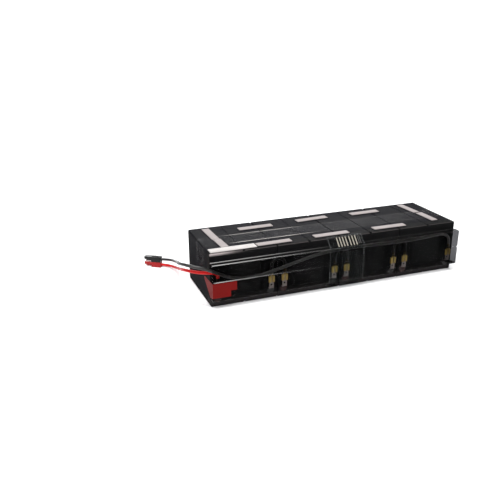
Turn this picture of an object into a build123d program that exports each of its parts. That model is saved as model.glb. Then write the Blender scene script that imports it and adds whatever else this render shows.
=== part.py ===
"""Battery cartridge: four sealed blocks in a row, with their terminals, leads and terminal shield.

Millimetres, +Z up. The blocks lie on their sides, so their lids face the front, at -Y.
The origin is at the bottom centre of the pack, without its free leads.
"""

import os
from math import cos, pi, radians, sin, tan

from build123d import *

# Blocks: container, lid and vent cover
block_count = 4
block_width = 89.8
block_gap = 0.2
block_height = 71.0
block_depth = 101.0
lid_depth = 14.0
block_corner_radius = 2.0
container_base_radius = 1.5
lid_front_radius = 1.6
seam_chamfer = 0.4
groove_width = 1.4
groove_depth = 0.5
notch_radius = 1.8
notch_depth = 3.0
vent_cover_side_margin = 22.9  # from the block's narrow sides
vent_cover_edge_margin = 12.5  # from the block's broad sides
vent_cover_thickness = 1.5
vent_cover_corner = 3.0
vent_cover_clearance = 0.25

# Terminals and the resin seals at their feet
terminal_inset = 9.0  # from the block's side to the terminal's centre
seal_centre_height = 11.5
seal_radius = 5.0
seal_thickness = 1.2
seal_clearance = 0.2
tab_width = 6.35
tab_thickness = 0.8
tab_foot_above_seal = 2.9
tab_standoff = 2.4  # from the lid's face to the back of the upright tab
tab_length = 16.6
tab_hole_radius = 1.3
tab_hole_height = 5.2  # above the foot
tab_corner = 1.0
tab_heel_radius = 0.7

# Receptacles, pushed on the tabs from above
receptacle_engagement = 7.5
receptacle_width = 8.4
receptacle_length = 8.0
receptacle_floor = 0.5
receptacle_curl = 1.15
receptacle_slot_clearance = 0.1
receptacle_mouth = 1.6
receptacle_edge_radius = 0.9
curl_eye_radius = 0.3
neck_width = 3.0
neck_length = 1.2
wire_crimp_width = 3.8
wire_crimp_thickness = 2.8
wire_crimp_corner = 1.0
wire_crimp_length = 3.2
crimp_gap = 0.8
grip_wall = 0.15
grip_length = 3.0

# Wires
wire_diameter = 4.0
jumper_leg = 5.9
lead_clearance = 0.25  # between the shield and the lead behind it

# Terminal shield: two folded angles of clear sheet that meet at mid height
shield_thickness = 0.6
shield_depth = 10.0
shield_bottom = 11.0
shield_lower_height = 25.5  # from the lower fold to the seam
shield_upper_height = 23.5
shield_seam_gap = 0.3
shield_overhang = 1.3  # past the right end of the blocks
shield_corner = 2.4
shield_fold_radius = 1.0

# Labels and tape band
label_thickness = 0.2
band_thickness = 0.15
band_front = 28.5  # from the lids' faces
band_width = 31.0
band_fold_down = 30.0
bar_label_left = 160.0  # from the left end
bar_label_width = 50.0
bar_label_edge = 0.8  # from the lids' faces back to where the label leaves the top
bar_label_landing = 2.5
bar_label_foot = 5.0
bar_label_foot_length = 3.0
red_label_bottom = 16.0
red_label_step = 24.0
red_label_top = 35.5
red_label_lower_width = 23.5
red_label_upper_width = 31.5
red_label_side_reach = 25.0
red_label_side_low = 29.5
red_label_side_high = 33.5
red_label_side_foot = 13.0

# Foam strips: block, centre from its left side and from the lids' faces, length, width, turn from +X
strip_thickness = 1.0
strip_corner = 0.6
strips = {
    "strip_left_back": (0, 22.5, 70.0, 44.0, 10.0, 92.0),
    "strip_left_front": (0, 25.0, 32.2, 30.0, 10.0, 93.0),
    "strip_corner": (0, 33.0, 9.6, 61.5, 12.6, 0.0),
    "strip_front_left": (0, 89.2, 10.9, 47.5, 10.0, 1.0),
    "strip_front_middle": (1, 82.0, 13.0, 51.0, 9.8, 0.8),
    "strip_front_right": (2, 80.0, 12.4, 49.5, 10.0, -0.5),
    "strip_back_left": (0, 88.5, 75.8, 49.0, 10.2, 1.0),
    "strip_back_middle": (1, 86.0, 81.0, 48.0, 10.0, 3.0),
    "strip_back_right": (2, 80.8, 80.4, 45.5, 10.4, 0.8),
    "strip_right_back": (3, 61.5, 73.4, 40.0, 9.6, 94.0),
    "strip_right_front": (3, 64.8, 31.6, 37.0, 9.8, 92.0),
}

# Connector housings and contacts
housing_side = 7.9
housing_length = 24.6
housing_wall = 1.1
housing_corner = 0.6
hood_length = 10.5
tongue_thickness = 1.5
tongue_length = 8.5
tongue_side_gap = 0.3
wire_bore_clearance = 0.25
wire_bore_length = 9.0
rib_width = 2.6
rib_height = 0.7
rib_clearance = 0.1
contact_width = 4.6
contact_thickness = 0.9
contact_lip = 0.8
contact_lip_drop = 1.3
contact_tip_radius = 0.45
contact_clearance = 0.1
connector_rear_x = -28.0  # from the left end of the blocks
connector_rear_y = 153.5  # from the lids' faces
connector_heading = 146.0  # degrees from +X

cut_margin = 1.0  # how far a cutter runs past what it cuts

# Overall sizes, and the pack's edges in the row frame
block_pitch = block_width + block_gap
blocks_length = block_count * block_pitch - block_gap
vent_cover_width = block_width - 2 * vent_cover_side_margin
vent_cover_height = block_height - 2 * vent_cover_edge_margin
overall_length = label_thickness + blocks_length + shield_overhang
overall_depth = label_thickness + shield_depth + block_depth
left_end = -overall_length / 2 + label_thickness
right_end = left_end + blocks_length
lid_face = -overall_depth / 2 + shield_depth + label_thickness
shield_face = lid_face - shield_depth
shield_seam = shield_bottom + shield_lower_height
shield_top = shield_seam + shield_upper_height

# The terminals' stack, from the lid upwards and outwards
tab_foot = seal_centre_height + tab_foot_above_seal
tab_plane = lid_face - tab_standoff - tab_thickness / 2
tab_top = tab_foot + tab_length
tab_slot = tab_thickness + 2 * receptacle_slot_clearance
receptacle_base = tab_top - receptacle_engagement
neck_base = receptacle_base + receptacle_length
wire_crimp_base = neck_base + neck_length
grip_base = wire_crimp_base + wire_crimp_length + crimp_gap
wire_start = grip_base + grip_length
lead_plane = shield_face + shield_thickness + lead_clearance + wire_diameter / 2
lead_top = shield_top - shield_thickness - lead_clearance - wire_diameter / 2
lead_y = lead_plane - lid_face


def block_left(index):
    """The x of a block's left side."""
    return left_end + index * block_pitch


def block_middle(index):
    """The x of a block's middle."""
    return block_left(index) + block_width / 2


def terminal_x(index, side):
    """The x of a block's left or right terminal."""
    if side == "left":
        return block_left(index) + terminal_inset
    return block_left(index) + block_width - terminal_inset


def box_between(low, high):
    """A box from its lowest to its highest corner."""
    size = [high[i] - low[i] for i in range(3)]
    centre = [(high[i] + low[i]) / 2 for i in range(3)]
    return Pos(*centre) * Box(*size)


def plane_facing_front(x, y, z):
    """A plane that looks to the front, with x to the right and z up."""
    return Plane(origin=(x, y, z), x_dir=(1, 0, 0), z_dir=(0, -1, 0))


def plane_facing_left(x, y, z):
    """A plane that looks to the left, with its own x along -Y and z up."""
    return Plane(origin=(x, y, z), x_dir=(0, -1, 0), z_dir=(-1, 0, 0))


# Blocks


def block_body(index, front, depth):
    """A rounded bar of the blocks' section, from a front face backwards."""
    outline = RectangleRounded(block_width, block_height, block_corner_radius)
    plane = plane_facing_front(block_middle(index), front, block_height / 2)
    return extrude(plane * outline, -depth)


def sink_grooves(index):
    """The two grooves down the middle of a block's broad sides."""
    middle = block_middle(index)
    grooves = []
    for level in (0, block_height):
        low = (middle - groove_width / 2, lid_face - cut_margin, level - groove_depth)
        back = lid_face + block_depth + cut_margin
        high = (middle + groove_width / 2, back, level + groove_depth)
        grooves.append(box_between(low, high))
    return grooves


def make_container(index):
    """The moulded case, rounded at its base."""
    body = block_body(index, lid_face + lid_depth, block_depth - lid_depth)
    base = body.faces().sort_by(Axis.Y)[-1]
    body = fillet(base.edges(), container_base_radius)
    for groove in sink_grooves(index):
        body -= groove
    return body


def make_lid(index):
    """The lid, with pockets for the vent cover and for the seals, and a notch at each mid edge."""
    middle = block_middle(index)
    body = block_body(index, lid_face, lid_depth)
    body = chamfer(body.faces().sort_by(Axis.Y)[-1].edges(), seam_chamfer)
    body = fillet(body.faces().sort_by(Axis.Y)[0].edges(), lid_front_radius)
    for groove in sink_grooves(index):
        body -= groove
    for level in (0, block_height):
        body -= Pos(middle, lid_face, level) * Rot(90, 0, 0) * Cylinder(notch_radius, 2 * notch_depth)
    cover_pocket = RectangleRounded(
        vent_cover_width + 2 * vent_cover_clearance,
        vent_cover_height + 2 * vent_cover_clearance,
        vent_cover_corner + vent_cover_clearance,
    )
    cover_plane = plane_facing_front(middle, lid_face, block_height / 2)
    body -= extrude(cover_plane * cover_pocket, -vent_cover_thickness)
    for side in ("left", "right"):
        seal_plane = plane_facing_front(terminal_x(index, side), lid_face, seal_centre_height)
        body -= extrude(seal_plane * Circle(seal_radius + seal_clearance), -seal_thickness)
    return body


def make_vent_cover(index):
    """The plate over the valves, flush with the lid."""
    outline = RectangleRounded(vent_cover_width, vent_cover_height, vent_cover_corner)
    plane = plane_facing_front(block_middle(index), lid_face, block_height / 2)
    return extrude(plane * outline, -vent_cover_thickness)


def make_seals(side):
    """The resin discs round all the left or all the right terminals."""
    discs = []
    for index in range(block_count):
        plane = plane_facing_front(terminal_x(index, side), lid_face, seal_centre_height)
        discs.append(extrude(plane * Circle(seal_radius), -seal_thickness))
    return Compound(children=discs)


def make_terminal(x):
    """A spade terminal: a foot out of the seal, bent upwards, with a hole and clipped corners."""
    back = lid_face - tab_standoff
    front = back - tab_thickness
    foot_top = tab_foot + tab_thickness
    body = box_between((x - tab_width / 2, front, tab_foot), (x + tab_width / 2, lid_face, foot_top))
    body += box_between((x - tab_width / 2, front, tab_foot), (x + tab_width / 2, back, tab_top))
    heel = body.edges().filter_by(Axis.X).group_by(Axis.Z)[0].sort_by(Axis.Y)[0]
    body = fillet(heel, tab_heel_radius)
    body = chamfer(body.edges().filter_by(Axis.Y).group_by(Axis.Z)[-1], tab_corner)
    hole = Pos(x, tab_plane, tab_foot + tab_hole_height) * Rot(90, 0, 0)
    return body - hole * Cylinder(tab_hole_radius, 3 * tab_thickness)


# Receptacles


def make_receptacle(x):
    """A crimped receptacle: rolled edges round the tab, a neck, the wire crimp and the grip."""
    back = tab_plane + tab_slot / 2 + receptacle_floor
    front = tab_plane - tab_slot / 2 - receptacle_curl
    outline = RectangleRounded(receptacle_width, back - front, receptacle_edge_radius)
    body = extrude(Plane(origin=(x, (back + front) / 2, receptacle_base)) * outline, receptacle_length)
    slot_half = tab_width / 2 + receptacle_slot_clearance
    above = neck_base + cut_margin
    below = receptacle_base - cut_margin
    body -= box_between(
        (x - slot_half, tab_plane - tab_slot / 2, below), (x + slot_half, tab_plane + tab_slot / 2, above)
    )
    body -= box_between(
        (x - receptacle_mouth / 2, front - cut_margin, below), (x + receptacle_mouth / 2, tab_plane, above)
    )
    for way in (-1, 1):
        eye = Pos(x + way * receptacle_width / 4, front + receptacle_curl / 2, neck_base)
        body -= eye * Cylinder(curl_eye_radius, 3 * receptacle_length)
    body += box_between(
        (x - neck_width / 2, back - receptacle_floor, receptacle_base),
        (x + neck_width / 2, back, wire_start),
    )
    crimp = RectangleRounded(wire_crimp_width, wire_crimp_thickness, wire_crimp_corner)
    crimp_plane = Plane(origin=(x, back - wire_crimp_thickness / 2, wire_crimp_base))
    body += extrude(crimp_plane * crimp, wire_crimp_length)
    grip = Circle(wire_diameter / 2 + grip_wall)
    body += extrude(Plane(origin=(x, tab_plane, grip_base)) * grip, grip_length)
    return body


# Wires


def tube(path):
    """A round wire along a path."""
    section = Plane(origin=path @ 0, z_dir=path % 0) * Circle(wire_diameter / 2)
    return sweep(section, path=path)


def make_jumper(index):
    """A looped wire from a block's right receptacle to the next block's left one."""
    left = terminal_x(index, "right")
    right = terminal_x(index + 1, "left")
    shoulder = wire_start + jumper_leg
    crown = ((left + right) / 2, tab_plane, shoulder + (right - left) / 2)
    rise = Line((left, tab_plane, wire_start), (left, tab_plane, shoulder))
    bow = ThreePointArc((left, tab_plane, shoulder), crown, (right, tab_plane, shoulder))
    fall = Line((right, tab_plane, shoulder), (right, tab_plane, wire_start))
    return tube(Wire([rise, bow, fall]))


def bend_radii(points):
    """Each corner's radius: 0.45 of the shorter run over the tangent of half the turn."""
    radii = []
    for before, here, after in zip(points, points[1:], points[2:]):
        run_in = Vector(*here) - Vector(*before)
        run_out = Vector(*after) - Vector(*here)
        half_turn = radians(run_in.get_angle(run_out)) / 2
        radii.append(0.45 * min(run_in.length, run_out.length) / tan(half_turn))
    return radii


def make_lead(name, points):
    """A lead along its hand-picked points; its radii, length and volume are printed."""
    radii = bend_radii(points)
    path = FilletPolyline(*points, radius=radii)
    body = tube(path)
    expected = pi * (wire_diameter / 2) ** 2 * path.length
    print(f"{name}: length {path.length:.1f}, volume {body.volume:.0f}, section x length {expected:.0f}")
    print("  radii", " ".join(f"{r:.1f}" for r in radii))
    return body


def from_corner(x, y, z):
    """A point from the blocks' left end, the lids' faces and the floor."""
    return (left_end + x, lid_face + y, z)


lower_axis = housing_side / 2
upper_axis = lower_axis + housing_side


def in_housing(distance, height):
    """A point on a housing's axis, so far in from its rear face."""
    x = connector_rear_x + distance * cos(radians(connector_heading))
    y = connector_rear_y + distance * sin(radians(connector_heading))
    return from_corner(x, y, height)


negative_x = terminal_x(block_count - 1, "right")
negative_route = [
    (negative_x, tab_plane, wire_start),
    (negative_x, tab_plane, wire_start + 6.6),
    (negative_x - 4.6, tab_plane - 0.5, wire_start + 12.8),
    (negative_x - 12.6, tab_plane - 1.4, lead_top - 0.5),
    (negative_x - 25.0, lead_plane + 1.0, lead_top),
    (negative_x - 43.0, lead_plane + 0.2, lead_top - 0.9),
    (negative_x - 66.0, lead_plane, lead_top - 2.0),
    (negative_x - 92.0, lead_plane, lead_top - 2.1),
    (negative_x - 122.0, lead_plane, lead_top - 0.9),
    (negative_x - 152.0, lead_plane, lead_top),
    from_corner(170.0, lead_y, lead_top - 0.4),
    from_corner(142.0, lead_y, 54.3),
    from_corner(113.0, lead_y, 48.0),
    from_corner(86.0, lead_y, 41.4),
    from_corner(63.0, lead_y, 36.9),
    from_corner(41.0, lead_y, 36.3),
    from_corner(23.0, lead_y, 39.8),
    from_corner(8.5, lead_y, 47.2),
    from_corner(-2.0, lead_y, 53.0),
    from_corner(-12.0, lead_y, 57.4),
    from_corner(-22.9, -2.5, 59.8),
    from_corner(-30.4, 6.6, 60.0),
    from_corner(-33.9, 19.0, 57.4),
    from_corner(-31.7, 36.6, 51.4),
    from_corner(-25.8, 56.5, 43.6),
    from_corner(-20.5, 80.0, 34.0),
    from_corner(-16.5, 102.0, 25.4),
    from_corner(-14.5, 123.0, 18.2),
    from_corner(-15.5, 139.7, 14.1),
    in_housing(-9.0, upper_axis + 0.5),
    in_housing(0.5, upper_axis),
    in_housing(wire_bore_length, upper_axis),
]

positive_x = terminal_x(0, "left")
positive_route = [
    (positive_x, tab_plane, wire_start),
    (positive_x, tab_plane, wire_start + 4.4),
    from_corner(6.0, -2.8, 46.6),
    from_corner(0.0, -2.8, 48.1),
    from_corner(-9.6, -3.0, 49.6),
    from_corner(-19.6, 1.0, 50.8),
    from_corner(-26.6, 8.8, 50.8),
    from_corner(-29.7, 19.6, 48.4),
    from_corner(-27.5, 36.5, 42.1),
    from_corner(-21.2, 56.5, 33.6),
    from_corner(-16.2, 80.0, 23.6),
    from_corner(-13.0, 102.0, 14.8),
    from_corner(-12.0, 122.0, 8.0),
    from_corner(-15.0, 139.6, 4.5),
    in_housing(-9.0, lower_axis - 0.5),
    in_housing(0.5, lower_axis),
    in_housing(wire_bore_length, lower_axis),
]


# Terminal shield


def make_shield_half(level, way):
    """One folded angle: a flange against the lids, and a plate before the terminals up to the seam."""
    end = right_end + shield_overhang
    inner = level + way * shield_thickness
    seam = shield_seam - way * shield_seam_gap / 2
    body = box_between(
        (left_end, shield_face, min(level, inner)), (end, lid_face, max(level, inner))
    )
    body += box_between(
        (left_end, shield_face, min(level, seam)),
        (end, shield_face + shield_thickness, max(level, seam)),
    )

    def is_fold(edge):
        return abs(edge.center().Y - shield_face) < 1e-4 and abs(edge.center().Z - level) < 1e-4

    def is_at_seam(edge):
        return abs(edge.center().Z - seam) < 1e-4

    body = fillet(body.edges().filter_by(Axis.X).filter_by(is_fold), shield_fold_radius)
    return fillet(body.edges().filter_by(Axis.Y).filter_by(is_at_seam), shield_corner)


# Labels, tape band and strips


def make_tape_band():
    """Clear tape over the top of the row, folded down the two ends."""
    middle = (left_end + right_end) / 2
    outer = RectangleRounded(
        blocks_length + 2 * band_thickness,
        block_height + 2 * band_thickness,
        block_corner_radius + band_thickness,
    )
    inner = RectangleRounded(blocks_length, block_height, block_corner_radius)
    plane = plane_facing_front(middle, lid_face + band_front, block_height / 2)
    body = extrude(plane * (outer - inner), -band_width)
    cut_low = (left_end - cut_margin, lid_face, -cut_margin)
    cut_high = (right_end + cut_margin, lid_face + block_depth, block_height - band_fold_down)
    return body - box_between(cut_low, cut_high)


def offset_points(points, thickness):
    """A bent line's points moved to its left by a thickness, with mitred corners."""
    normals = []
    for here, after in zip(points, points[1:]):
        run = Vector(*after) - Vector(*here)
        normals.append(Vector(-run.Y, run.X).normalized())
    moved = []
    for i, point in enumerate(points):
        before = normals[max(i - 1, 0)]
        after = normals[min(i, len(normals) - 1)]
        reach = thickness / (1 + before.dot(after))
        shifted = Vector(*point) + (before + after) * reach
        moved.append((shifted.X, shifted.Y))
    return moved


def make_bar_label():
    """A clear label: landed on the top, sloping to the shield, down its plate and back to the lids."""
    line = [
        (-lid_front_radius - bar_label_landing, block_height),
        (-bar_label_edge, block_height),
        (shield_depth, shield_top),
        (shield_depth, shield_bottom),
        (0, bar_label_foot),
        (0, bar_label_foot - bar_label_foot_length),
    ]
    outside = offset_points(line, label_thickness)
    plane = plane_facing_left(left_end + bar_label_left, lid_face, 0)
    outline = make_face(Polyline(*line, *reversed(outside), close=True))
    return extrude(plane * outline, -bar_label_width)


def make_red_label():
    """A red label on the shield's lower plate, bent round the corner on to the block's left end."""
    front = shield_face - label_thickness
    outside = left_end - label_thickness
    plate = [
        (0, red_label_bottom),
        (label_thickness + red_label_lower_width, red_label_bottom),
        (label_thickness + red_label_lower_width, red_label_step),
        (label_thickness + red_label_upper_width, red_label_step),
        (label_thickness + red_label_upper_width, red_label_top),
        (0, red_label_top),
    ]
    side = [
        (0, red_label_bottom),
        (0, red_label_top),
        (-shield_depth - label_thickness - red_label_side_reach, red_label_side_high),
        (-shield_depth - label_thickness - red_label_side_reach, red_label_side_low),
        (-shield_depth - label_thickness, red_label_side_foot),
    ]
    plate_face = make_face(Polyline(*plate, close=True))
    side_face = make_face(Polyline(*side, close=True))
    body = extrude(plane_facing_front(outside, front, 0) * plate_face, -label_thickness)
    return body + extrude(plane_facing_left(outside, front, 0) * side_face, -label_thickness)


def make_strip(index, x, y, length, width, turn):
    """A foam strip on the blocks' broad sides, at the height of the tape band's upper face."""
    plane = Plane(origin=(block_left(index) + x, lid_face + y, block_height + band_thickness))
    outline = plane * Rot(0, 0, turn) * RectangleRounded(length, width, strip_corner)
    return extrude(outline, strip_thickness)


# Connector housings, modelled along +X from the wire's end and then laid in place


def in_place(body, level):
    """A housing's piece, turned and moved to where the connector lies."""
    return Pos(*in_housing(0, level)) * Rot(0, 0, connector_heading) * body


def make_housing(level):
    """A single-pole housing: wire bore, hood, tongue, a rib on top and a groove below."""
    half = housing_side / 2
    hood_start = housing_length - hood_length
    section = Plane.YZ * RectangleRounded(housing_side, housing_side, housing_corner)
    body = extrude(section, housing_length)
    body += box_between((0, -rib_width / 2, 0), (hood_start, rib_width / 2, half + rib_height))
    body -= box_between(
        (hood_start, -half + housing_wall, -half - cut_margin),
        (housing_length + cut_margin, half - housing_wall, half - housing_wall),
    )
    body -= box_between(
        (hood_start, -half - cut_margin, -half - cut_margin),
        (housing_length + cut_margin, half + cut_margin, 0),
    )
    tongue_half = half - housing_wall - tongue_side_gap
    body += box_between(
        (wire_bore_length, -tongue_half, -contact_thickness / 2 - tongue_thickness),
        (hood_start + tongue_length, tongue_half, -contact_thickness / 2),
    )
    body -= extrude(Plane.YZ * Circle(wire_diameter / 2 + wire_bore_clearance), wire_bore_length)
    slot_half = contact_width / 2 + contact_clearance
    body -= box_between(
        (wire_bore_length, -slot_half, -contact_thickness / 2),
        (hood_start + cut_margin, slot_half, contact_thickness / 2 + contact_clearance),
    )
    groove_half = rib_width / 2 + rib_clearance
    body -= box_between(
        (-cut_margin, -groove_half, -half - cut_margin),
        (hood_start + rib_clearance, groove_half, -half + rib_height + rib_clearance),
    )
    return in_place(body, level)


def make_contact(level):
    """A silvered contact: a blade on the tongue, with a lip over its end."""
    tongue_end = housing_length - hood_length + tongue_length
    tip_end = tongue_end + contact_clearance + contact_lip
    half = contact_width / 2
    body = box_between(
        (wire_bore_length, -half, -contact_thickness / 2), (tip_end, half, contact_thickness / 2)
    )
    body += box_between(
        (tongue_end + contact_clearance, -half, -contact_lip_drop), (tip_end, half, contact_thickness / 2)
    )
    tip = body.edges().filter_by(Axis.Y).group_by(Axis.X)[-1].sort_by(Axis.Z)[-1]
    return in_place(fillet(tip, contact_tip_radius), level)


# Nodes

nodes = {}
for block in range(block_count):
    number = block + 1
    nodes[f"container_{number}"] = make_container(block)
    nodes[f"lid_{number}"] = make_lid(block)
    nodes[f"vent_cover_{number}"] = make_vent_cover(block)
    for side, pole in (("left", "positive"), ("right", "negative")):
        nodes[f"terminal_{pole}_{number}"] = make_terminal(terminal_x(block, side))
        nodes[f"receptacle_{pole}_{number}"] = make_receptacle(terminal_x(block, side))
for block in range(block_count - 1):
    nodes[f"jumper_{block + 1}"] = make_jumper(block)
nodes["seals_positive"] = make_seals("left")
nodes["seals_negative"] = make_seals("right")
nodes["positive_lead"] = make_lead("positive_lead", positive_route)
nodes["negative_lead"] = make_lead("negative_lead", negative_route)
nodes["housing_positive"] = make_housing(lower_axis)
nodes["housing_negative"] = make_housing(upper_axis)
nodes["contact_positive"] = make_contact(lower_axis)
nodes["contact_negative"] = make_contact(upper_axis)
nodes["shield_upper"] = make_shield_half(shield_top, -1)
nodes["shield_lower"] = make_shield_half(shield_bottom, 1)
nodes["tape_band"] = make_tape_band()
nodes["bar_label"] = make_bar_label()
nodes["red_label"] = make_red_label()
for name, strip in strips.items():
    nodes[name] = make_strip(*strip)

os.makedirs("parts", exist_ok=True)
for name, body in nodes.items():
    export_step(body, f"parts/{name}.step")
print(len(nodes), "nodes written")
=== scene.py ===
# %% [markdown]
# A battery pack in studio light. Four sealed lead-acid blocks lie on their sides in a row, with
# their lids to the front. Tabs, receptacles and wires run along the lids, behind a folded shield of
# clear sheet. Clear tape holds the row together, and foam strips on top keep it from rattling in
# its bay.
#
# The solids come ready made, at their real size. This lesson gives each one its surface. It remakes
# the pieces whose look depends on being soft, thin or rounded: the two leads and their housings, the
# foam strips, the tape, and the clear label with its printed bars.

from math import cos, radians, sin

import bmesh
import bpy
from mathutils import Matrix, Vector


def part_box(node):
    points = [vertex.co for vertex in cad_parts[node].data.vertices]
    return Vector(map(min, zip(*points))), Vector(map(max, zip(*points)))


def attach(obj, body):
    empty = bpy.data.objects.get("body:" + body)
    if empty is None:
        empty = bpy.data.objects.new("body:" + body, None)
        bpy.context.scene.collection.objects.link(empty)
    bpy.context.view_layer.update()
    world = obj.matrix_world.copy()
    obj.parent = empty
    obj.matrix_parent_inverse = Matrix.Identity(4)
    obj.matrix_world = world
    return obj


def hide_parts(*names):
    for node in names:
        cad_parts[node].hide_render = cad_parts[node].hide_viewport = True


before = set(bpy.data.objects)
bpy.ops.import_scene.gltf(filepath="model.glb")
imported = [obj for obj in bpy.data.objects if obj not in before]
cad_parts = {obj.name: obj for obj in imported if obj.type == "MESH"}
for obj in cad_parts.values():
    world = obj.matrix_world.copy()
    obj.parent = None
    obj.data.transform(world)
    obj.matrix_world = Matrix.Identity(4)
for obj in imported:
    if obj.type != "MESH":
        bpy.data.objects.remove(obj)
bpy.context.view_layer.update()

# %% [markdown]
# All lengths in this lesson are real millimetres, turned to metres by one factor. A few places are
# used again and again: the two ends of the row of blocks, its top, and the plane of the lids'
# faces. All are read from the solids, so that every new piece starts from the real ones.

# %% Millimetres, and the corner that places are counted from
MM = 0.001
left_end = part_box("container_1")[0].x
lid_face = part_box("lid_1")[0].y
block_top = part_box("container_1")[1].z
row_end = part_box("container_4")[1].x


def from_corner(x, y, z):
    """A point in millimetres from the blocks' left end, the lids' faces and the floor."""
    return Vector((left_end + x * MM, lid_face + y * MM, z * MM))


print("corner at", tuple(round(v, 4) for v in from_corner(0, 0, 0)))

# %% [markdown]
# The camera comes first, because everything else is judged through it. It stands in front and to
# the left, a little under a metre away. Its place and lens were worked out from the pack's corners.
# The turn is built from three plain angles: round to the right, down, and a touch of roll.

# %% Camera
camera_place = Vector((-377.98, -718.06, 344.43)) * MM
camera_azimuth = radians(-20.398)
camera_down = radians(20.928)
camera_roll = radians(-0.252)
lens_mm = 44.49
sensor_mm = 36

camera_data = bpy.data.cameras.new("camera")
camera_data.lens = lens_mm
camera_data.sensor_width = sensor_mm
camera = bpy.data.objects.new("camera", camera_data)
bpy.context.scene.collection.objects.link(camera)
forward = Vector((
    -sin(camera_azimuth) * cos(camera_down),
    cos(camera_azimuth) * cos(camera_down),
    -sin(camera_down),
))
level_right = forward.cross(Vector((0, 0, 1))).normalized()
level_up = level_right.cross(forward)
right = level_right * cos(camera_roll) + level_up * sin(camera_roll)
up = right.cross(forward)
turn = Matrix((right, up, -forward)).transposed()
camera.matrix_world = Matrix.Translation(camera_place) @ turn.to_4x4()
bpy.context.scene.camera = camera
print("camera looks along", tuple(round(v, 3) for v in forward))

# %% [markdown]
# Colours are written as the hex values that a colour picker on a screen shows. The renderer adds
# light in linear values, so one function turns the first into the second.

# %% Colours


def linear(hex_colour):
    """Linear red, green, blue and alpha of a hex colour such as 1a1a1c, by the sRGB standard's curve."""
    channels = []
    for start in (0, 2, 4):
        value = int(hex_colour[start:start + 2], 16) / 255
        channels.append(value / 12.92 if value <= 0.04045 else ((value + 0.055) / 1.055) ** 2.4)
    return (*channels, 1.0)


print("mid grey", tuple(round(v, 3) for v in linear("808080")))

# %% [markdown]
# A material is a small graph of nodes. Two helpers keep the graphs readable. One starts a material
# with its main shader, and the other adds a node, sets its values and joins it to what feeds it.

# %% Two helpers for materials


def new_material(name):
    """A material with its node tree and its main shader."""
    material = bpy.data.materials.new(name)
    material.use_nodes = True
    tree = material.node_tree
    return material, tree, tree.nodes["Principled BSDF"]


def add(tree, kind, settings=None, **inputs):
    """A node with its settings. Each input, by name or as in0, in1, gets a value or a link."""
    node = tree.nodes.new("ShaderNode" + kind)
    for key, value in (settings or {}).items():
        setattr(node, key, value)
    for key, value in inputs.items():
        by_number = key.startswith("in")
        socket = node.inputs[int(key[2:]) if by_number else key.replace("_", " ")]
        if isinstance(value, bpy.types.NodeSocket):
            tree.links.new(value, socket)
        else:
            socket.default_value = value
    return node


print("helpers ready")

# %% [markdown]
# The wires are stranded copper in PVC insulation, pulled through a die while it is hot, so they
# shine softly along their length and carry a few shallow ripples. The roughness is a compromise. A
# highlight that runs along a wire tells the eye that it is round, but where the camera looks almost
# straight along a wire, a smooth one turns into a mirror and gets lost against the pale floor.

# %% PVC insulation, extruded
ripple_mm = 6.0
ripple_depth_mm = 0.15
pvc_smooth, pvc_rough = 0.34, 0.4
pvc_ior = 1.55


def extruded_pvc(name, shade, worn_shade, shine):
    """Wire insulation with a soft sheen and faint ripples."""
    material, tree, shader = new_material(name)
    place = add(tree, "TexCoord").outputs["Object"]
    ripple = add(tree, "TexNoise", Vector=place, Scale=1 / (ripple_mm * MM), Detail=3.0, Roughness=0.5)
    mix = add(
        tree, "Mix", {"data_type": "RGBA"},
        in0=ripple.outputs["Fac"], in6=linear(shade), in7=linear(worn_shade),
    )
    tree.links.new(mix.outputs[2], shader.inputs["Base Color"])
    gloss = add(tree, "MapRange", Value=ripple.outputs["Fac"], To_Min=pvc_smooth, To_Max=pvc_rough)
    tree.links.new(gloss.outputs["Result"], shader.inputs["Roughness"])
    bump = add(tree, "Bump", Height=ripple.outputs["Fac"], Strength=0.1, Distance=ripple_depth_mm * MM)
    tree.links.new(bump.outputs["Normal"], shader.inputs["Normal"])
    shader.inputs["IOR"].default_value = pvc_ior
    shader.inputs["Specular IOR Level"].default_value = shine
    return material


black_pvc = extruded_pvc("black PVC, extruded", "0e0d0c", "181613", shine=0.4)
# The jumpers get a darker copy of the black PVC with less shine, as painted shade.
shaded_jumper_pvc = extruded_pvc("black PVC, extruded, in the shade", "070707", "0d0c0b", shine=0.15)
red_pvc = extruded_pvc("red PVC, extruded", "ac0708", "bc0f0e", shine=0.2)
print("materials:", black_pvc.name, "and", shaded_jumper_pvc.name, "and", red_pvc.name)

# %% [markdown]
# Some highlights and bands of light are painted in along a line: on a moulded lid's upper front
# edge, or on a fold in a clear sheet. One mask serves them all. It measures how far a point is from
# a straight line that runs along the row, or from a plane, and fades with that distance. How bright
# it is at each place along the row is drawn by a colour ramp, whose stops are given in millimetres
# from the left end, with a brightness from 0 to 1.

# %% A mask for painted light along lines


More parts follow.
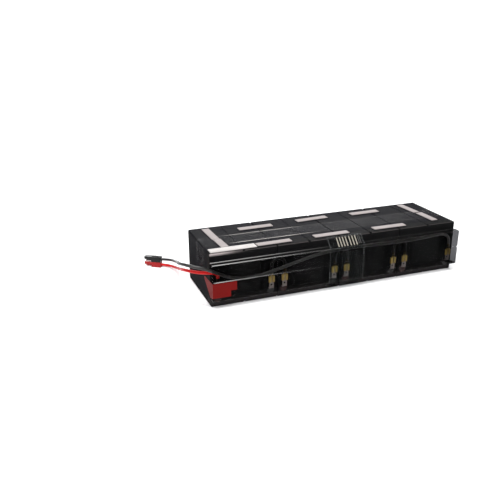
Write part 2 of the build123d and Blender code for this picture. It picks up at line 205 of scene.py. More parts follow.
def painted_light_mask(tree, place, lines):
    """A mask of painted light, bright along lines. Each has a point, the axes that count, a reach and its
    stops.
    """
    along = add(tree, "SeparateXYZ", Vector=place).outputs["X"]
    share = add(tree, "MapRange", Value=along, From_Min=left_end, From_Max=row_end).outputs["Result"]
    mask = None
    for point, axes, reach, stops in lines:
        away = add(tree, "VectorMath", {"operation": "SUBTRACT"}, in0=place, in1=tuple(point))
        flat = add(tree, "VectorMath", {"operation": "MULTIPLY"}, in0=away.outputs[0], in1=axes)
        far = add(tree, "VectorMath", {"operation": "LENGTH"}, in0=flat.outputs[0]).outputs["Value"]
        glow = add(tree, "MapRange", Value=far, From_Max=reach * MM, To_Min=1.0, To_Max=0.0)
        ramp = add(tree, "ValToRGB", Fac=share)
        colours = ramp.color_ramp.elements
        while len(colours) < len(stops):  # a new ramp has two stops, and all get their places below
            colours.new(0.5)
        for colour, (mm_along, brightness) in zip(colours, stops):
            colour.position = mm_along * MM / (row_end - left_end)
            colour.color = (brightness, brightness, brightness, 1.0)
        here = add(
            tree, "Math", {"operation": "MULTIPLY"},
            in0=glow.outputs["Result"], in1=ramp.outputs["Color"],
        ).outputs[0]
        if mask:
            here = add(tree, "Math", {"operation": "MAXIMUM"}, in0=mask, in1=here).outputs[0]
        mask = here
    return mask


along_x = (0.0, 1.0, 1.0)  # a line along x: only y and z count
at_height = (0.0, 0.0, 1.0)  # a level plane: only z counts
across_y = (0.0, 1.0, 0.0)  # an upright plane along the row: only y counts
across_x = (1.0, 0.0, 0.0)  # an upright plane across the row: only x counts
print("mask ready")

# %% [markdown]
# The blocks are ABS, injection moulded in a spark-eroded tool, which leaves a fine even grain. The
# grain blurs what the plastic mirrors, so seen low across the top it turns a soft dark grey, and
# seen square on it stays almost black. Handling adds a few duller patches. A painted highlight
# lies along the lids' upper front edge, broadest near the left corner, and a faint painted band of
# floor light lies along the lids' foot.

# %% ABS, moulded with a fine grain
abs_grain_mm = 0.7  # coarser than the real 0.1 mm, so that it shows at all
abs_grain_depth_mm = 0.05
abs_grain_share = 0.3  # how much the grain counts beside the patches
abs_patch_mm = 45.0
worn_from, worn_to = 0.4, 0.9  # the span of grain and patches together that turns fresh to worn
abs_smooth, abs_rough = 0.5, 0.64
# the height of the faint painted band of floor light along the lids' foot
foot_light_height_mm = 5.0


def moulded_abs(name, shade, worn_shade, shine, painted_light_shade=None, painted_light_lines=()):
    """Near-black case plastic: grain, patches, painted light along lines, a broad soft reflection."""
    material, tree, shader = new_material(name)
    place = add(tree, "TexCoord").outputs["Object"]
    grain = add(tree, "TexNoise", Vector=place, Scale=1 / (abs_grain_mm * MM), Detail=2.0)
    patch = add(tree, "TexNoise", Vector=place, Scale=1 / (abs_patch_mm * MM), Detail=5.0, Roughness=0.6)
    both = add(
        tree, "Math", {"operation": "MULTIPLY_ADD"},
        in0=grain.outputs["Fac"], in1=abs_grain_share, in2=patch.outputs["Fac"],
    ).outputs[0]
    share = add(tree, "MapRange", Value=both, From_Min=worn_from, From_Max=worn_to).outputs["Result"]
    mix = add(tree, "Mix", {"data_type": "RGBA"}, in0=share, in6=linear(shade), in7=linear(worn_shade))
    # painted light: highlights and a band of floor light, mixed in with the pale shade
    if painted_light_lines:
        glow = painted_light_mask(tree, place, painted_light_lines)
        paler = linear(painted_light_shade)
        mix = add(tree, "Mix", {"data_type": "RGBA"}, in0=glow, in6=mix.outputs[2], in7=paler)
    tree.links.new(mix.outputs[2], shader.inputs["Base Color"])
    gloss = add(tree, "MapRange", Value=share, To_Min=abs_smooth, To_Max=abs_rough)
    tree.links.new(gloss.outputs["Result"], shader.inputs["Roughness"])
    depth = abs_grain_depth_mm * MM
    bump = add(tree, "Bump", Height=grain.outputs["Fac"], Strength=0.12, Distance=depth)
    tree.links.new(bump.outputs["Normal"], shader.inputs["Normal"])
    shader.inputs["Specular IOR Level"].default_value = shine
    return material


# Painted light on the lids, in the pale shade aaa09f: a highlight along the whole upper front edge,
# broadest and brightest near the left corner, and a faint band of floor light along the foot.
lid_edge = Vector((0, lid_face, block_top))
foot_light_middle = Vector((0, lid_face, foot_light_height_mm * MM))
painted_edge_highlight = (lid_edge, along_x, 1.3, ((0, 0.3), (62, 0.2), (360, 0.14)))
painted_corner_highlight = (lid_edge, along_x, 3.4, ((0, 0.95), (16, 0.85), (34, 0.25), (52, 0.0)))
painted_foot_light = (foot_light_middle, at_height, 9.0, ((0, 0.045), (360, 0.03)))
lid_painted_light = [painted_edge_highlight, painted_corner_highlight, painted_foot_light]
case_abs = moulded_abs("black ABS, case", "0c0c0e", "15151a", shine=0.008)
lid_abs = moulded_abs(
    "black ABS, lid", "0d0d0d", "161617", shine=0.01, painted_light_shade="aaa09f", painted_light_lines=lid_painted_light,
)
cover_abs = moulded_abs("black ABS, vent cover", "0b0b0b", "141415", shine=0.05)
print("materials:", case_abs.name, lid_abs.name, "and", cover_abs.name)

# %% [markdown]
# Solids that are already the right shape only need their finish. One function hands a material to
# every node whose name starts with a given word.

# %% Finish the blocks and the jumpers


def dress(prefix, material):
    """Put a material on every solid whose name starts with a prefix."""
    found = [solid for node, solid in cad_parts.items() if node.startswith(prefix)]
    for solid in found:
        solid.data.materials.clear()
        solid.data.materials.append(material)
    print(prefix, "on", len(found), "solids")


dress("container_", case_abs)
dress("lid_", lid_abs)
dress("vent_cover_", cover_abs)
dress("jumper_", shaded_jumper_pvc)

# %% [markdown]
# The metal parts are small and mostly dull. The receptacles are stamped from brass strip, the tabs are
# tinned, and the contacts in the housings are silvered. Stamping and rolling leave faint lines along
# the strip, so the noise is stretched that way. Above its flat barrel each receptacle is crimped
# round the wire, and there a dark brown is painted on as shade: the curved crimp mirrors the dark
# around it.

# %% Stamped and plated metal
rolling_mm = 0.8  # coarser than the real lines, so that they show
rolling_squeeze = 0.12  # the noise's scale along the strip, beside its scale across
crimp_height_mm = 34.6  # over the floor, and the same for every receptacle
crimp_blend_mm = 3.0


def plated_metal(name, shade, dull_shade, smooth, rough, painted_crimp_shade=None):
    """Thin strip metal with rolling lines, and painted shade above the height where it is crimped."""
    material, tree, shader = new_material(name)
    place = add(tree, "TexCoord").outputs["Object"]
    stretched = add(tree, "Mapping", Vector=place, Scale=(1.0, 1.0, rolling_squeeze)).outputs["Vector"]
    lines = add(tree, "TexNoise", Vector=stretched, Scale=1 / (rolling_mm * MM), Detail=3.0)
    mix = add(
        tree, "Mix", {"data_type": "RGBA"},
        in0=lines.outputs["Fac"], in6=linear(shade), in7=linear(dull_shade),
    )
    # painted shade: dark brown above the crimp height
    if painted_crimp_shade:
        height = add(tree, "SeparateXYZ", Vector=place).outputs["Z"]
        crimped = add(
            tree, "MapRange", Value=height,
            From_Min=(crimp_height_mm - crimp_blend_mm) * MM, From_Max=crimp_height_mm * MM,
        ).outputs["Result"]
        crimp_shade = linear(painted_crimp_shade)
        mix = add(tree, "Mix", {"data_type": "RGBA"}, in0=crimped, in6=mix.outputs[2], in7=crimp_shade)
    tree.links.new(mix.outputs[2], shader.inputs["Base Color"])
    gloss = add(tree, "MapRange", Value=lines.outputs["Fac"], To_Min=smooth, To_Max=rough)
    tree.links.new(gloss.outputs["Result"], shader.inputs["Roughness"])
    shader.inputs["Metallic"].default_value = 1.0
    return material


# 2c261b is the painted shade on the crimps
brass = plated_metal(
    "brass, stamped", "b09a62", "8a7540", smooth=0.3, rough=0.5, painted_crimp_shade="2c261b",
)
tinned = plated_metal("brass, tin plated", "948b87", "6f6764", smooth=0.3, rough=0.5)
silvered = plated_metal("copper, silver plated", "eeeae0", "cfc9bd", smooth=0.15, rough=0.3)
dress("receptacle_", brass)
dress("terminal_", tinned)
dress("contact_", silvered)

# %% [markdown]
# Resin is poured round each terminal while it is liquid: red marks plus and black marks minus. It
# sets to a smooth, slightly wavy pool, so it is glossier than the moulded lid round it.

# %% Epoxy resin, poured
resin_wave_mm = 3.0
resin_wave_depth_mm = 0.2
resin_deep_share = 0.6  # how bright the deeper spots are beside the others


def poured_resin(name, shade):
    """Glossy set resin with a slight waviness."""
    material, tree, shader = new_material(name)
    place = add(tree, "TexCoord").outputs["Object"]
    wave = add(tree, "TexNoise", Vector=place, Scale=1 / (resin_wave_mm * MM), Detail=1.0)
    deep = tuple(channel * resin_deep_share for channel in linear(shade)[:3]) + (1.0,)
    mix = add(tree, "Mix", {"data_type": "RGBA"}, in0=wave.outputs["Fac"], in6=deep, in7=linear(shade))
    tree.links.new(mix.outputs[2], shader.inputs["Base Color"])
    depth = resin_wave_depth_mm * MM
    bump = add(tree, "Bump", Height=wave.outputs["Fac"], Strength=0.4, Distance=depth)
    tree.links.new(bump.outputs["Normal"], shader.inputs["Normal"])
    shader.inputs["Roughness"].default_value = 0.25
    return material


dress("seals_positive", poured_resin("red epoxy resin", "3f100e"))
dress("seals_negative", poured_resin("black epoxy resin", "101011"))

# %% [markdown]
# Some solids are right in shape, but their edges are perfectly sharp, and a sharp edge never
# catches a highlight. Such a solid is copied, its loose triangles are merged, flat faces are
# joined, and a small bevel rounds the outer edges. The joining matters: without it the bevel would
# stop at every triangle. The helpers here serve the housings, the films and the foam strips.

# %% Helpers for rounded copies of solids
same_point_mm = 0.001
flat_angle = radians(1)
sharp_angle = radians(60)
smooth_angle = radians(40)


def merged_copy(node):
    """A bmesh of a solid, with its loose triangles merged and its flat faces joined."""
    shape = bmesh.new()
    shape.from_mesh(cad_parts[node].data)
    bmesh.ops.remove_doubles(shape, verts=shape.verts, dist=same_point_mm * MM)
    bmesh.ops.dissolve_limit(shape, angle_limit=flat_angle, verts=shape.verts, edges=shape.edges)
    return shape


def sharp_edges(shape):
    """The edges of a bmesh that turn outwards by more than the sharp angle."""
    return [e for e in shape.edges if e.is_manifold and e.calc_face_angle_signed() > sharp_angle]


def round_edges(shape, edges, width, segments):
    """A round bevel of a width on some edges of a bmesh."""
    bmesh.ops.bevel(
        shape, geom=edges, offset=width, offset_type="OFFSET", segments=segments, profile=0.5,
        affect="EDGES", material=-1, clamp_overlap=True,
    )


def finish_piece(name, shape, node, material):
    """Turn a bmesh into an object that rides with the part, in place of a solid if one is named."""
    mesh = bpy.data.meshes.new(name)
    shape.to_mesh(mesh)
    shape.free()
    mesh.materials.append(material)
    piece = bpy.data.objects.new(name, mesh)
    bpy.context.scene.collection.objects.link(piece)
    mesh.shade_smooth()
    mesh.set_sharp_from_angle(angle=smooth_angle)
    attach(piece, "root")
    if node:
        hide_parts(node)
    return piece


print("edges that turn by more than", round(sharp_angle, 2), "radians count as sharp")

# %% [markdown]
# The housings are moulded polycarbonate, with a satin skin: the tool's fine texture keeps them from
# shining like the contacts inside. A fine noise varies the shade and the roughness, and a low bump
# breaks up the reflections.

# %% Connector housings
housing_edge_mm = 0.25
housing_edge_steps = 2
housing_skin_mm = 1.2  # coarser than the real texture, so that it shows
housing_skin_depth_mm = 0.05
housing_smooth, housing_rough = 0.32, 0.48


def moulded_housing(name, shade, worn_shade):
    """Satin polycarbonate, with a fine uneven skin."""
    material, tree, shader = new_material(name)
    place = add(tree, "TexCoord").outputs["Object"]
    skin = add(tree, "TexNoise", Vector=place, Scale=1 / (housing_skin_mm * MM), Detail=4.0)
    mix = add(
        tree, "Mix", {"data_type": "RGBA"},
        in0=skin.outputs["Fac"], in6=linear(shade), in7=linear(worn_shade),
    )
    tree.links.new(mix.outputs[2], shader.inputs["Base Color"])
    gloss = add(tree, "MapRange", Value=skin.outputs["Fac"], To_Min=housing_smooth, To_Max=housing_rough)
    tree.links.new(gloss.outputs["Result"], shader.inputs["Roughness"])
    depth = housing_skin_depth_mm * MM
    bump = add(tree, "Bump", Height=skin.outputs["Fac"], Strength=0.2, Distance=depth)
    tree.links.new(bump.outputs["Normal"], shader.inputs["Normal"])
    shader.inputs["Specular IOR Level"].default_value = 0.2
    return material


red_housing = moulded_housing("red polycarbonate, housing", "860f12", "971a19")
black_housing = moulded_housing("black polycarbonate, housing", "090909", "111112")
for pole, material, slot in (
    ("positive", red_housing, "housing_red"),
    ("negative", black_housing, "housing_black"),
):
    shape = merged_copy(f"housing_{pole}")
    round_edges(shape, sharp_edges(shape), housing_edge_mm * MM, housing_edge_steps)
    piece = finish_piece(f"connector_{pole}", shape, f"housing_{pole}", material)
    print(piece.name, "with", len(piece.data.polygons), "faces")

# %% [markdown]
# Each lead is one piece of wire from its crimp to its connector. Its line is a smooth curve drawn
# by a short list of control points. The negative lead starts at the far right terminal, runs the
# length of the row behind the shield, sags towards the left end and comes out there. Both leads
# then swing round the left end, come down under their own weight, and end in the two housings,
# which lie on the floor, one on the other.

# %% Routes of the two leads
wire_diameter = 4.0 * MM
lead_y = -7.15  # the plane behind the shield that the long lead runs in
upper_axis = 11.85  # heights of the two housings' axes over the floor
lower_axis = 3.95
housing_rear_x, housing_rear_y = -28.0, 153.5
housing_heading = radians(146)


def in_housing(distance, height):
    """A point on a housing's axis, in millimetres in from its rear face."""
    along = Vector((cos(housing_heading), sin(housing_heading), 0)) * distance * MM
    return from_corner(housing_rear_x, housing_rear_y, height) + along


negative_route = [
    from_corner(350.8, -2.8, 39.7),
    from_corner(350.8, -2.8, 46.3),
    from_corner(346.2, -3.3, 52.5),
    from_corner(338.2, -4.2, 56.65),
    from_corner(325.8, lead_y + 1.0, 57.15),
    from_corner(307.8, lead_y + 0.2, 56.25),
    from_corner(284.8, lead_y, 55.15),
    from_corner(258.8, lead_y, 55.05),
    from_corner(228.8, lead_y, 56.25),
    from_corner(198.8, lead_y, 57.15),
    from_corner(170.0, lead_y, 56.75),
    from_corner(142.0, lead_y, 54.3),
    from_corner(113.0, lead_y, 48.0),
    from_corner(86.0, lead_y, 41.4),
    from_corner(63.0, lead_y, 36.9),
    from_corner(41.0, lead_y, 36.3),
    from_corner(23.0, lead_y, 39.8),
    from_corner(8.5, lead_y, 47.2),
    from_corner(-2.0, lead_y, 53.0),
    from_corner(-12.0, lead_y, 57.4),
    from_corner(-22.9, -2.5, 59.8),
    from_corner(-30.4, 6.6, 60.0),
    from_corner(-33.9, 19.0, 57.4),
    from_corner(-31.7, 36.6, 51.4),
    from_corner(-25.8, 56.5, 43.6),
    from_corner(-20.5, 80.0, 34.0),
    from_corner(-16.5, 102.0, 25.4),
    from_corner(-14.5, 123.0, 18.2),
    from_corner(-15.5, 139.7, 14.1),
    in_housing(-9.0, upper_axis + 0.5),
    in_housing(0.5, upper_axis),
    in_housing(9.0, upper_axis),
]
positive_route = [
    from_corner(9.0, -2.8, 39.7),
    from_corner(9.0, -2.8, 44.1),
    from_corner(6.0, -2.8, 46.6),
    from_corner(0.0, -2.8, 48.1),
    from_corner(-9.6, -3.0, 49.6),
    from_corner(-19.6, 1.0, 50.8),
    from_corner(-26.6, 8.8, 50.8),
    from_corner(-29.7, 19.6, 48.4),
    from_corner(-27.5, 36.5, 42.1),
    from_corner(-21.2, 56.5, 33.6),
    from_corner(-16.2, 80.0, 23.6),
    from_corner(-13.0, 102.0, 14.8),
    from_corner(-12.0, 122.0, 8.0),
    from_corner(-15.0, 139.6, 4.5),
    in_housing(-9.0, lower_axis - 0.5),
    in_housing(0.5, lower_axis),
    in_housing(9.0, lower_axis),
]
print("routes with", len(negative_route), "and", len(positive_route), "points")

# %% [markdown]
# A wire could be a mesh swept along its line, but a curve keeps the line and the section apart: the
# control points stay editable, and the bevel gives the round section.

# %% How a lead is made
curve_steps = 8  # between one control point and the next
section_steps = 5  # more steps make the section rounder


def make_lead(name, node, route, material):
    """A round wire on a smooth curve, in place of the plain tube."""
    curve = bpy.data.curves.new(name, "CURVE")
    curve.dimensions = "3D"
    spline = curve.splines.new("NURBS")
    spline.points.add(len(route) - 1)
    for point, place in zip(spline.points, route):
        point.co = (*place, 1.0)
    spline.order_u = 3
    spline.use_endpoint_u = True
    spline.resolution_u = curve_steps
    curve.bevel_depth = wire_diameter / 2
    curve.bevel_resolution = section_steps
    curve.use_fill_caps = True
    curve.materials.append(material)
    lead = bpy.data.objects.new(name, curve)
    bpy.context.scene.collection.objects.link(lead)
    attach(lead, "root")
    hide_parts(node)
    print(name, "with", len(route), "points")


print("leads are", wire_diameter / MM, "mm thick")

# %% [markdown]
# Now that the housings are there, the leads can be laid. Each starts in a crimp and ends in its
# housing.

# %% Lay the leads
make_lead(
    "negative_wire", "negative_lead", negative_route, black_pvc,
)
make_lead(
    "positive_wire", "positive_lead", positive_route, red_pvc,
)

# %% [markdown]
# Thin clear sheet is hard to show: most of it is only what lies behind it, a little darker. Three
# things give it away. It mirrors the room more at a slant. It has a faint milkiness from handling.
# And its cut edges and folds show pale lines, which are painted highlights. So the material is a
# clear shader, mixed with a pale one by a mask, and the mask is a low noise for the haze, with painted
# highlight lines where the real sheet has its folds and edges.
#
# A Fresnel node would give the mirroring, but on back faces it turns the index over, and a thin
# sheet seen low then becomes a full mirror. The facing angle, counted from where the mirroring sets
# in and raised to a power, is nearly the same curve. It treats both faces alike, and nearer to face
# on it is exactly nothing, which keeps stray bright specks out of the dark behind the sheet.

# %% Clear film
film_cloud_mm = 30.0
cloud_low, cloud_high = 0.35, 0.65  # the span of the noise that turns clear to hazy
dark_end_mm = 10.4  # where the sheet's free right end starts to let less light through, and so shows darker
fully_dark_end_mm = 0.92 * dark_end_mm
plain_facing = 0.5  # the blend at which Facing is one minus the cosine of the slant
slant_start = 0.45  # how far from face on the mirroring sets in, where 1 is edge on
slant_power = 2.2
haze_and_highlight_roughness = 0.5


def clear_film(name, tint, end_tint, haze_and_highlight_shade, haze, slant_shine, roughness, lines):
    """Thin clear plastic: tints, a share of haze, its shine at a slant, and its painted highlight lines.
    """
    material, tree, haze_and_highlight = new_material(name)
    place = add(tree, "TexCoord").outputs["Object"]
    cloud = add(tree, "TexNoise", Vector=place, Scale=1 / (film_cloud_mm * MM), Detail=4.0, Roughness=0.65)
    milk = add(
        tree, "MapRange", Value=cloud.outputs["Fac"], From_Min=cloud_low, From_Max=cloud_high,
        To_Min=haze[0], To_Max=haze[1],
    ).outputs["Result"]
    # painted highlights along the lines, laid on with the haze in the pale shade
    glow = painted_light_mask(tree, place, lines)
    share = add(tree, "Math", {"operation": "MAXIMUM"}, in0=milk, in1=glow).outputs[0]
    haze_and_highlight.inputs["Base Color"].default_value = linear(haze_and_highlight_shade)
    haze_and_highlight.inputs["Roughness"].default_value = haze_and_highlight_roughness
    # the tint turns darker over the last stretch of the sheet's free right end
    across = add(tree, "SeparateXYZ", Vector=place).outputs["X"]
    free = add(
        tree, "MapRange", Value=across,
        From_Min=row_end - dark_end_mm * MM, From_Max=row_end - fully_dark_end_mm * MM,
    ).outputs["Result"]
    shade = add(tree, "Mix", {"data_type": "RGBA"}, in0=free, in6=linear(tint), in7=linear(end_tint))
    clear = add(tree, "BsdfTransparent", Color=shade.outputs[2])
    mirror = add(tree, "BsdfGlossy", Color=linear("ffffff"), Roughness=roughness)
    facing = add(tree, "LayerWeight", Blend=plain_facing).outputs["Facing"]
    past = add(tree, "MapRange", Value=facing, From_Min=slant_start).outputs["Result"]
    steep = add(tree, "Math", {"operation": "POWER"}, in0=past, in1=slant_power).outputs[0]
    slant = add(tree, "Math", {"operation": "MULTIPLY"}, in0=steep, in1=slant_shine).outputs[0]
    sheet = add(tree, "MixShader", in0=slant, in1=clear.outputs[0], in2=mirror.outputs[0])
    whole = add(tree, "MixShader", in0=share, in1=sheet.outputs[0], in2=haze_and_highlight.outputs[0])
    tree.links.new(whole.outputs[0], tree.nodes["Material Output"].inputs["Surface"])
    return material


print("mirroring sets in at a facing of", slant_start)

# %% [markdown]
# The shield is two folded angles of polycarbonate sheet that meet at mid height. Its solids have the
# right shape, so they only get the clear film. Highlights are painted along five lines: the fold
# along the upper front, the rear edge on top, the foot, the seam and the open right end. Most of
# them are painted brightest on the left and fade to the right.

# %% The shield
shield_low, shield_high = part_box("shield_upper")
shield_front, shield_seam = shield_low.y, shield_low.z
shield_end, shield_top = shield_high.x, shield_high.z
shield_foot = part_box("shield_lower")[0].z
# Painted highlights, each a band of the pale shade c9c8c6 with its brightness along the row:
front_fold = (
    Vector((0, shield_front, shield_top)), along_x, 1.3,
    ((0, 0.75), (48, 0.6), (125, 0.16), (190, 0.05), (360, 0.04)),
)
rear_edge = (
    Vector((0, lid_face, shield_top)), along_x, 2.4,
    ((0, 0.85), (48, 0.7), (115, 0.2), (170, 0.06), (360, 0.05)),
)
foot_fold = (Vector((0, shield_front, shield_foot)), along_x, 0.9, ((0, 0.16), (360, 0.08)))
seam = (
    Vector((0, 0, shield_seam)), at_height, 0.7,
    ((0, 0.3), (8, 1.0), (40, 0.4), (100, 0.12), (165, 0.0)),
)
open_end = (Vector((shield_end, 0, 0)), across_x, 0.5, ((0, 0.3), (360, 0.3)))
shield_sheet = clear_film(
    "clear polycarbonate sheet, folded", "e6e6e6", "929294", "c9c8c6",
    haze=(0.0, 0.003), slant_shine=0.37, roughness=0.12,
    lines=[front_fold, rear_edge, foot_fold, seam, open_end],
)
dress("shield_", shield_sheet)

# %% [markdown]
# Tape and label are stuck to the solids under them, and faces that share a plane flicker between
# the two. So each film is remade as a copy, lifted by a hair's breadth. The tape goes over both
# ends of the row too, so it is also made that much longer at each end. Highlights are painted only
# along the tape's long edges and the label's left and right ones.

# %% Tape and label
film_lift_mm = 0.03


def lifted_film(name, node, material, wider):
    """A copy of a film's solid, lifted, and wider by a number of lifts, so that no faces meet."""
    shape = merged_copy(node)
    low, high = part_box(node)
    middle = (low + high) / 2
    wide = 1 + wider * film_lift_mm * MM / (high.x - low.x)
    bmesh.ops.scale(
        shape, vec=(wide, 1, 1), space=Matrix.Translation(-middle), verts=shape.verts
    )
    bmesh.ops.translate(shape, vec=(0, 0, film_lift_mm * MM), verts=shape.verts)
    finish_piece(name, shape, node, material)


band_low, band_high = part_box("tape_band")
# Painted highlights along the tape's two long edges, brightest from about 50 to 120 mm along the row
tape_front_edge = (
    Vector((0, band_low.y, 0)), across_y, 2.4,
    ((0, 0.02), (34, 0.03), (48, 0.5), (120, 0.6), (160, 0.05)),
)
tape_rear_edge = (
    Vector((0, band_high.y, 0)), across_y, 2.4,
    ((0, 0.02), (34, 0.03), (52, 0.35), (112, 0.45), (150, 0.05)),
)
tape_film = clear_film(
    "clear polypropylene tape", "ffffff", "ffffff", "b4aea8",
    haze=(0.0, 0.002), slant_shine=0.02, roughness=0.4, lines=[tape_front_edge, tape_rear_edge],
)
lifted_film("tape_film", "tape_band", tape_film, 2.0)

bar_label_low, bar_label_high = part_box("bar_label")
# Painted highlights along the label's left and right edges
label_edges = [
    (Vector((end, 0, 0)), across_x, 0.9, ((0, 0.12), (360, 0.12)))
    for end in (bar_label_low.x, bar_label_high.x)
]
label_film = clear_film(
    "clear polyester label", "f4f6f6", "f4f6f6", "b9bcbc",
    haze=(0.002, 0.008), slant_shine=0.05, roughness=0.3, lines=label_edges,
)
lifted_film("label_film", "bar_label", label_film, 0.0)
print("tape and label lifted by", film_lift_mm, "mm")

# %% [markdown]
# The printed bars sit where the label slopes from the top of the row down to the shield. Print is
# a few hundredths of a millimetre of ink. As thin plates on the label they stay put on every
# renderer, and their corners are rounded, because screen-printed ink creeps a little.

# %% Bars on the label
ink_thick_mm = 0.04
bar_width_mm = 1.6
bar_corner_mm = 0.2
bar_corner_steps = 3
bar_span = (0.04, 0.93)  # shares of the slope's length
bar_places_mm = (173.0, 177.3, 181.5, 185.8, 191.0, 195.5, 199.8)
faint_bar_width_mm = 0.7
faint_bar_span = (0.1, 0.85)
faint_bar_places_mm = (203.4, 205.8)
ink_wear_mm = 1.5
label_thick_mm = 0.2
label_bend_y, label_bend_z = 0.8, 71.0  # where the label leaves the top of the row
slope_start = from_corner(0, label_bend_y, label_bend_z)
slope_end = Vector((slope_start.x, shield_front, shield_top))
slope_run = slope_end - slope_start
slope_out = slope_run.cross(Vector((1, 0, 0))).normalized()
print("the slope is", round(slope_run.length / MM, 2), "mm long and looks along", slope_out)


def printed_ink(name, shade, thin_shade):
    """Screen ink, a little uneven where it is thin."""
    material, tree, shader = new_material(name)
    place = add(tree, "TexCoord").outputs["Object"]
    wear = add(tree, "TexNoise", Vector=place, Scale=1 / (ink_wear_mm * MM), Detail=3.0)
    mix = add(
        tree, "Mix", {"data_type": "RGBA"},
        in0=wear.outputs["Fac"], in6=linear(shade), in7=linear(thin_shade),
    )
    tree.links.new(mix.outputs[2], shader.inputs["Base Color"])
    shader.inputs["Roughness"].default_value = 0.55
    return material


def add_bar(shape, x, width, span):
    """One bar on the slope, over a span given as two shares of the slope's length."""
    first, last = span
    centre = slope_start + slope_run * ((first + last) / 2)
    centre += slope_out * (label_thick_mm + film_lift_mm + ink_thick_mm / 2) * MM
    centre.x = from_corner(x, 0, 0).x
    axes = Matrix((Vector((-1, 0, 0)), slope_run.normalized(), slope_out)).transposed().to_4x4()
    size = Matrix.Diagonal((width * MM, slope_run.length * (last - first), ink_thick_mm * MM, 1))
    made = bmesh.ops.create_cube(shape, size=1, matrix=Matrix.Translation(centre) @ axes @ size)
    edges = {e for v in made["verts"] for e in v.link_edges}
    corners = [e for e in edges if e.calc_length() < bar_corner_mm * MM]  # as long as the ink is thick
    round_edges(shape, corners, bar_corner_mm * MM, bar_corner_steps)


bars = bmesh.new()
for x in bar_places_mm:
    add_bar(bars, x, bar_width_mm, bar_span)
cream_ink = printed_ink("cream screen ink", "928d7f", "77726a")
finish_piece("printed_bars", bars, None, cream_ink)
faint_bars = bmesh.new()
for x in faint_bar_places_mm:
    add_bar(faint_bars, x, faint_bar_width_mm, faint_bar_span)
grey_ink = printed_ink("grey screen ink", "504f4c", "3a3937")
finish_piece("faint_bars", faint_bars, None, grey_ink)
print(len(bar_places_mm) + len(faint_bar_places_mm), "bars")

# %% [markdown]
# The red label is printed vinyl. Vinyl is smooth but soft, so it has a broad dim shine, and where
# it was pressed on by hand it carries a slight unevenness.

# %% Printed vinyl
vinyl_cloud_mm = 12.0
vinyl_cloud_depth_mm = 0.2


def printed_vinyl(name, shade, deep_shade):
    """Soft coloured film with a broad shine."""
    material, tree, shader = new_material(name)
    place = add(tree, "TexCoord").outputs["Object"]
    cloud = add(tree, "TexNoise", Vector=place, Scale=1 / (vinyl_cloud_mm * MM), Detail=3.0)
    mix = add(
        tree, "Mix", {"data_type": "RGBA"},
        in0=cloud.outputs["Fac"], in6=linear(shade), in7=linear(deep_shade),
    )
    tree.links.new(mix.outputs[2], shader.inputs["Base Color"])
    depth = vinyl_cloud_depth_mm * MM
    bump = add(tree, "Bump", Height=cloud.outputs["Fac"], Strength=0.3, Distance=depth)
    tree.links.new(bump.outputs["Normal"], shader.inputs["Normal"])
    shader.inputs["Roughness"].default_value = 0.55
    shader.inputs["Specular IOR Level"].default_value = 0.06
    return material


dress("red_label", printed_vinyl("red vinyl, printed", "6b0f0d", "5c0c0a"))

# %% [markdown]
# The strips are closed-cell foam, split from a block, so their faces show tiny cells and their cut
# edges are soft. Each one is a copy of its solid. The copy is merged, and its edges are rounded as
# foam is when it is cut with a die. The wide strip in the corner comes from the outside of the
# block: it keeps the moulded skin, which is paler and smoother.

# %% Foam strips
foam_cell_mm = 0.9
foam_cell_depth_mm = 0.12
foam_drift_mm = 14.0  # how far apart paler and darker spots lie
foam_edge_mm = 0.35
foam_edge_steps = 3


def split_foam(name, shade, deep_shade, roughness, shine):
    """Closed-cell foam with small cells."""
    material, tree, shader = new_material(name)
    place = add(tree, "TexCoord").outputs["Object"]
    cell = add(tree, "TexVoronoi", Vector=place, Scale=1 / (foam_cell_mm * MM))
    drift = add(tree, "TexNoise", Vector=place, Scale=1 / (foam_drift_mm * MM), Detail=3.0)
    mix = add(
        tree, "Mix", {"data_type": "RGBA"},
        in0=drift.outputs["Fac"], in6=linear(shade), in7=linear(deep_shade),
    )
    tree.links.new(mix.outputs[2], shader.inputs["Base Color"])
    depth = foam_cell_depth_mm * MM
    bump = add(tree, "Bump", Height=cell.outputs["Distance"], Strength=0.35, Distance=depth)
    tree.links.new(bump.outputs["Normal"], shader.inputs["Normal"])
    shader.inputs["Roughness"].default_value = roughness
    shader.inputs["Specular IOR Level"].default_value = shine
    return material


cut_foam = split_foam(
    "white polyethylene foam, cut face", "9a9391", "8f8887", roughness=0.85, shine=0.2,
)
skin_foam = split_foam(
    "white polyethylene foam, moulded skin", "b2adaa", "a5a09d", roughness=0.5, shine=0.1,
)
strips = [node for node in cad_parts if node.startswith("strip_")]
for node in strips:
    shape = merged_copy(node)
    round_edges(shape, sharp_edges(shape), foam_edge_mm * MM, foam_edge_steps)
    material = skin_foam if node == "strip_corner" else cut_foam
    finish_piece(f"foam_{node}", shape, node, material)
print(len(strips), "strips softened")

# %% [markdown]
# The stage is a pale round floor whose rim rises far out, as a paper sweep does, so that it fills
# the view from every side. It starts as a flat disc, and each ring is its rim, extruded, spread and
# lifted. Its radii and heights are in metres.

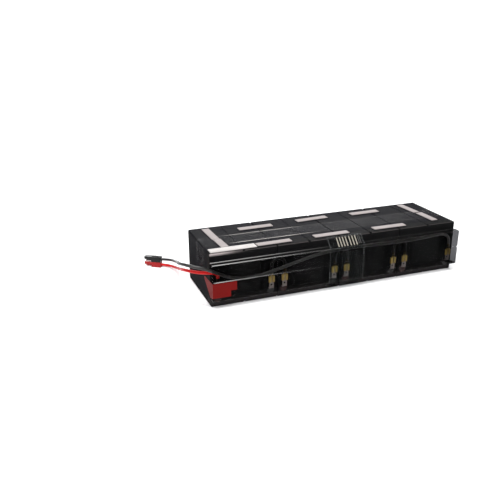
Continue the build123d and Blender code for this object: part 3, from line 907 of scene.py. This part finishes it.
# %% Floor
floor_sides = 96
flat_radius = 2.5
rim_rings = ((3.2, 0.04), (4.2, 0.16), (5.6, 0.5), (7.0, 1.3), (8.0, 2.6))  # radius and height
floor_shape = bmesh.new()
bmesh.ops.create_circle(floor_shape, cap_ends=True, segments=floor_sides, radius=flat_radius)
rim = list(floor_shape.edges)
last_radius = flat_radius
last_height = 0.0
for radius, height in rim_rings:
    grown = bmesh.ops.extrude_edge_only(floor_shape, edges=rim)["geom"]
    corners = [g for g in grown if isinstance(g, bmesh.types.BMVert)]
    edges = [g for g in grown if isinstance(g, bmesh.types.BMEdge)]
    rim = [e for e in edges if all(v in corners for v in e.verts)]
    spread = radius / last_radius
    bmesh.ops.scale(floor_shape, vec=(spread, spread, 1), verts=corners)
    bmesh.ops.translate(floor_shape, vec=(0, 0, height - last_height), verts=corners)
    last_radius, last_height = radius, height
bmesh.ops.recalc_face_normals(floor_shape, faces=floor_shape.faces)
floor_mesh = bpy.data.meshes.new("floor")
floor_shape.to_mesh(floor_mesh)
floor_shape.free()
floor_mesh.shade_smooth()
floor = bpy.data.objects.new("floor", floor_mesh)
bpy.context.scene.collection.objects.link(floor)
paper, _, floor_shader = new_material("white paper sweep")
floor_shader.inputs["Base Color"].default_value = linear("fbfbfb")
floor_shader.inputs["Roughness"].default_value = 0.9
floor_shader.inputs["Specular IOR Level"].default_value = 0.1
floor_mesh.materials.append(paper)
print("floor with", len(floor_mesh.polygons), "faces")

# %% [markdown]
# One large soft sun lights the scene evenly, from high up, a little in front and to the left. Black
# plastic is drawn by its reflections, so a wide softbox stands well behind the pack, where the top
# of the blocks mirrors it. A narrow strip overhead adds thin highlights along wires and folds. The
# lights stay hidden from the camera. Their places and sizes are in metres.

# %% Lights and world
sky_colour = (0.9, 0.92, 1.0, 1)
sky_strength = 0.12


def add_light(name, kind, place, aim, energy, **settings):
    """A light at a place, turned to look at an aim."""
    data = bpy.data.lights.new(name, kind)
    data.energy = energy
    for key, value in settings.items():
        setattr(data, key, value)
    light = bpy.data.objects.new(name, data)
    bpy.context.scene.collection.objects.link(light)
    look = (Vector(aim) - Vector(place)).to_track_quat("-Z", "Y")
    light.matrix_world = Matrix.Translation(Vector(place)) @ look.to_matrix().to_4x4()
    light.visible_camera = False


add_light("sun", "SUN", (-0.8, -1.0, 3.0), (0, 0, 0), energy=3.05, angle=radians(80))
add_light(
    "back_softbox", "AREA", (0.6, 2.4, 0.95), (0, 0, 0.05), energy=46,
    shape="RECTANGLE", size=2.2, size_y=1.0,
)
add_light(
    "top_strip", "AREA", (-0.3, -0.5, 1.6), (0, -0.05, 0.05), energy=20,
    shape="RECTANGLE", size=1.6, size_y=0.2,
)
world = bpy.data.worlds.new("studio")
world.use_nodes = True
background = world.node_tree.nodes["Background"]
background.inputs["Color"].default_value = sky_colour
background.inputs["Strength"].default_value = sky_strength
bpy.context.scene.world = world
bpy.context.scene.view_settings.view_transform = "Standard"
print(len(bpy.data.lights), "lights")
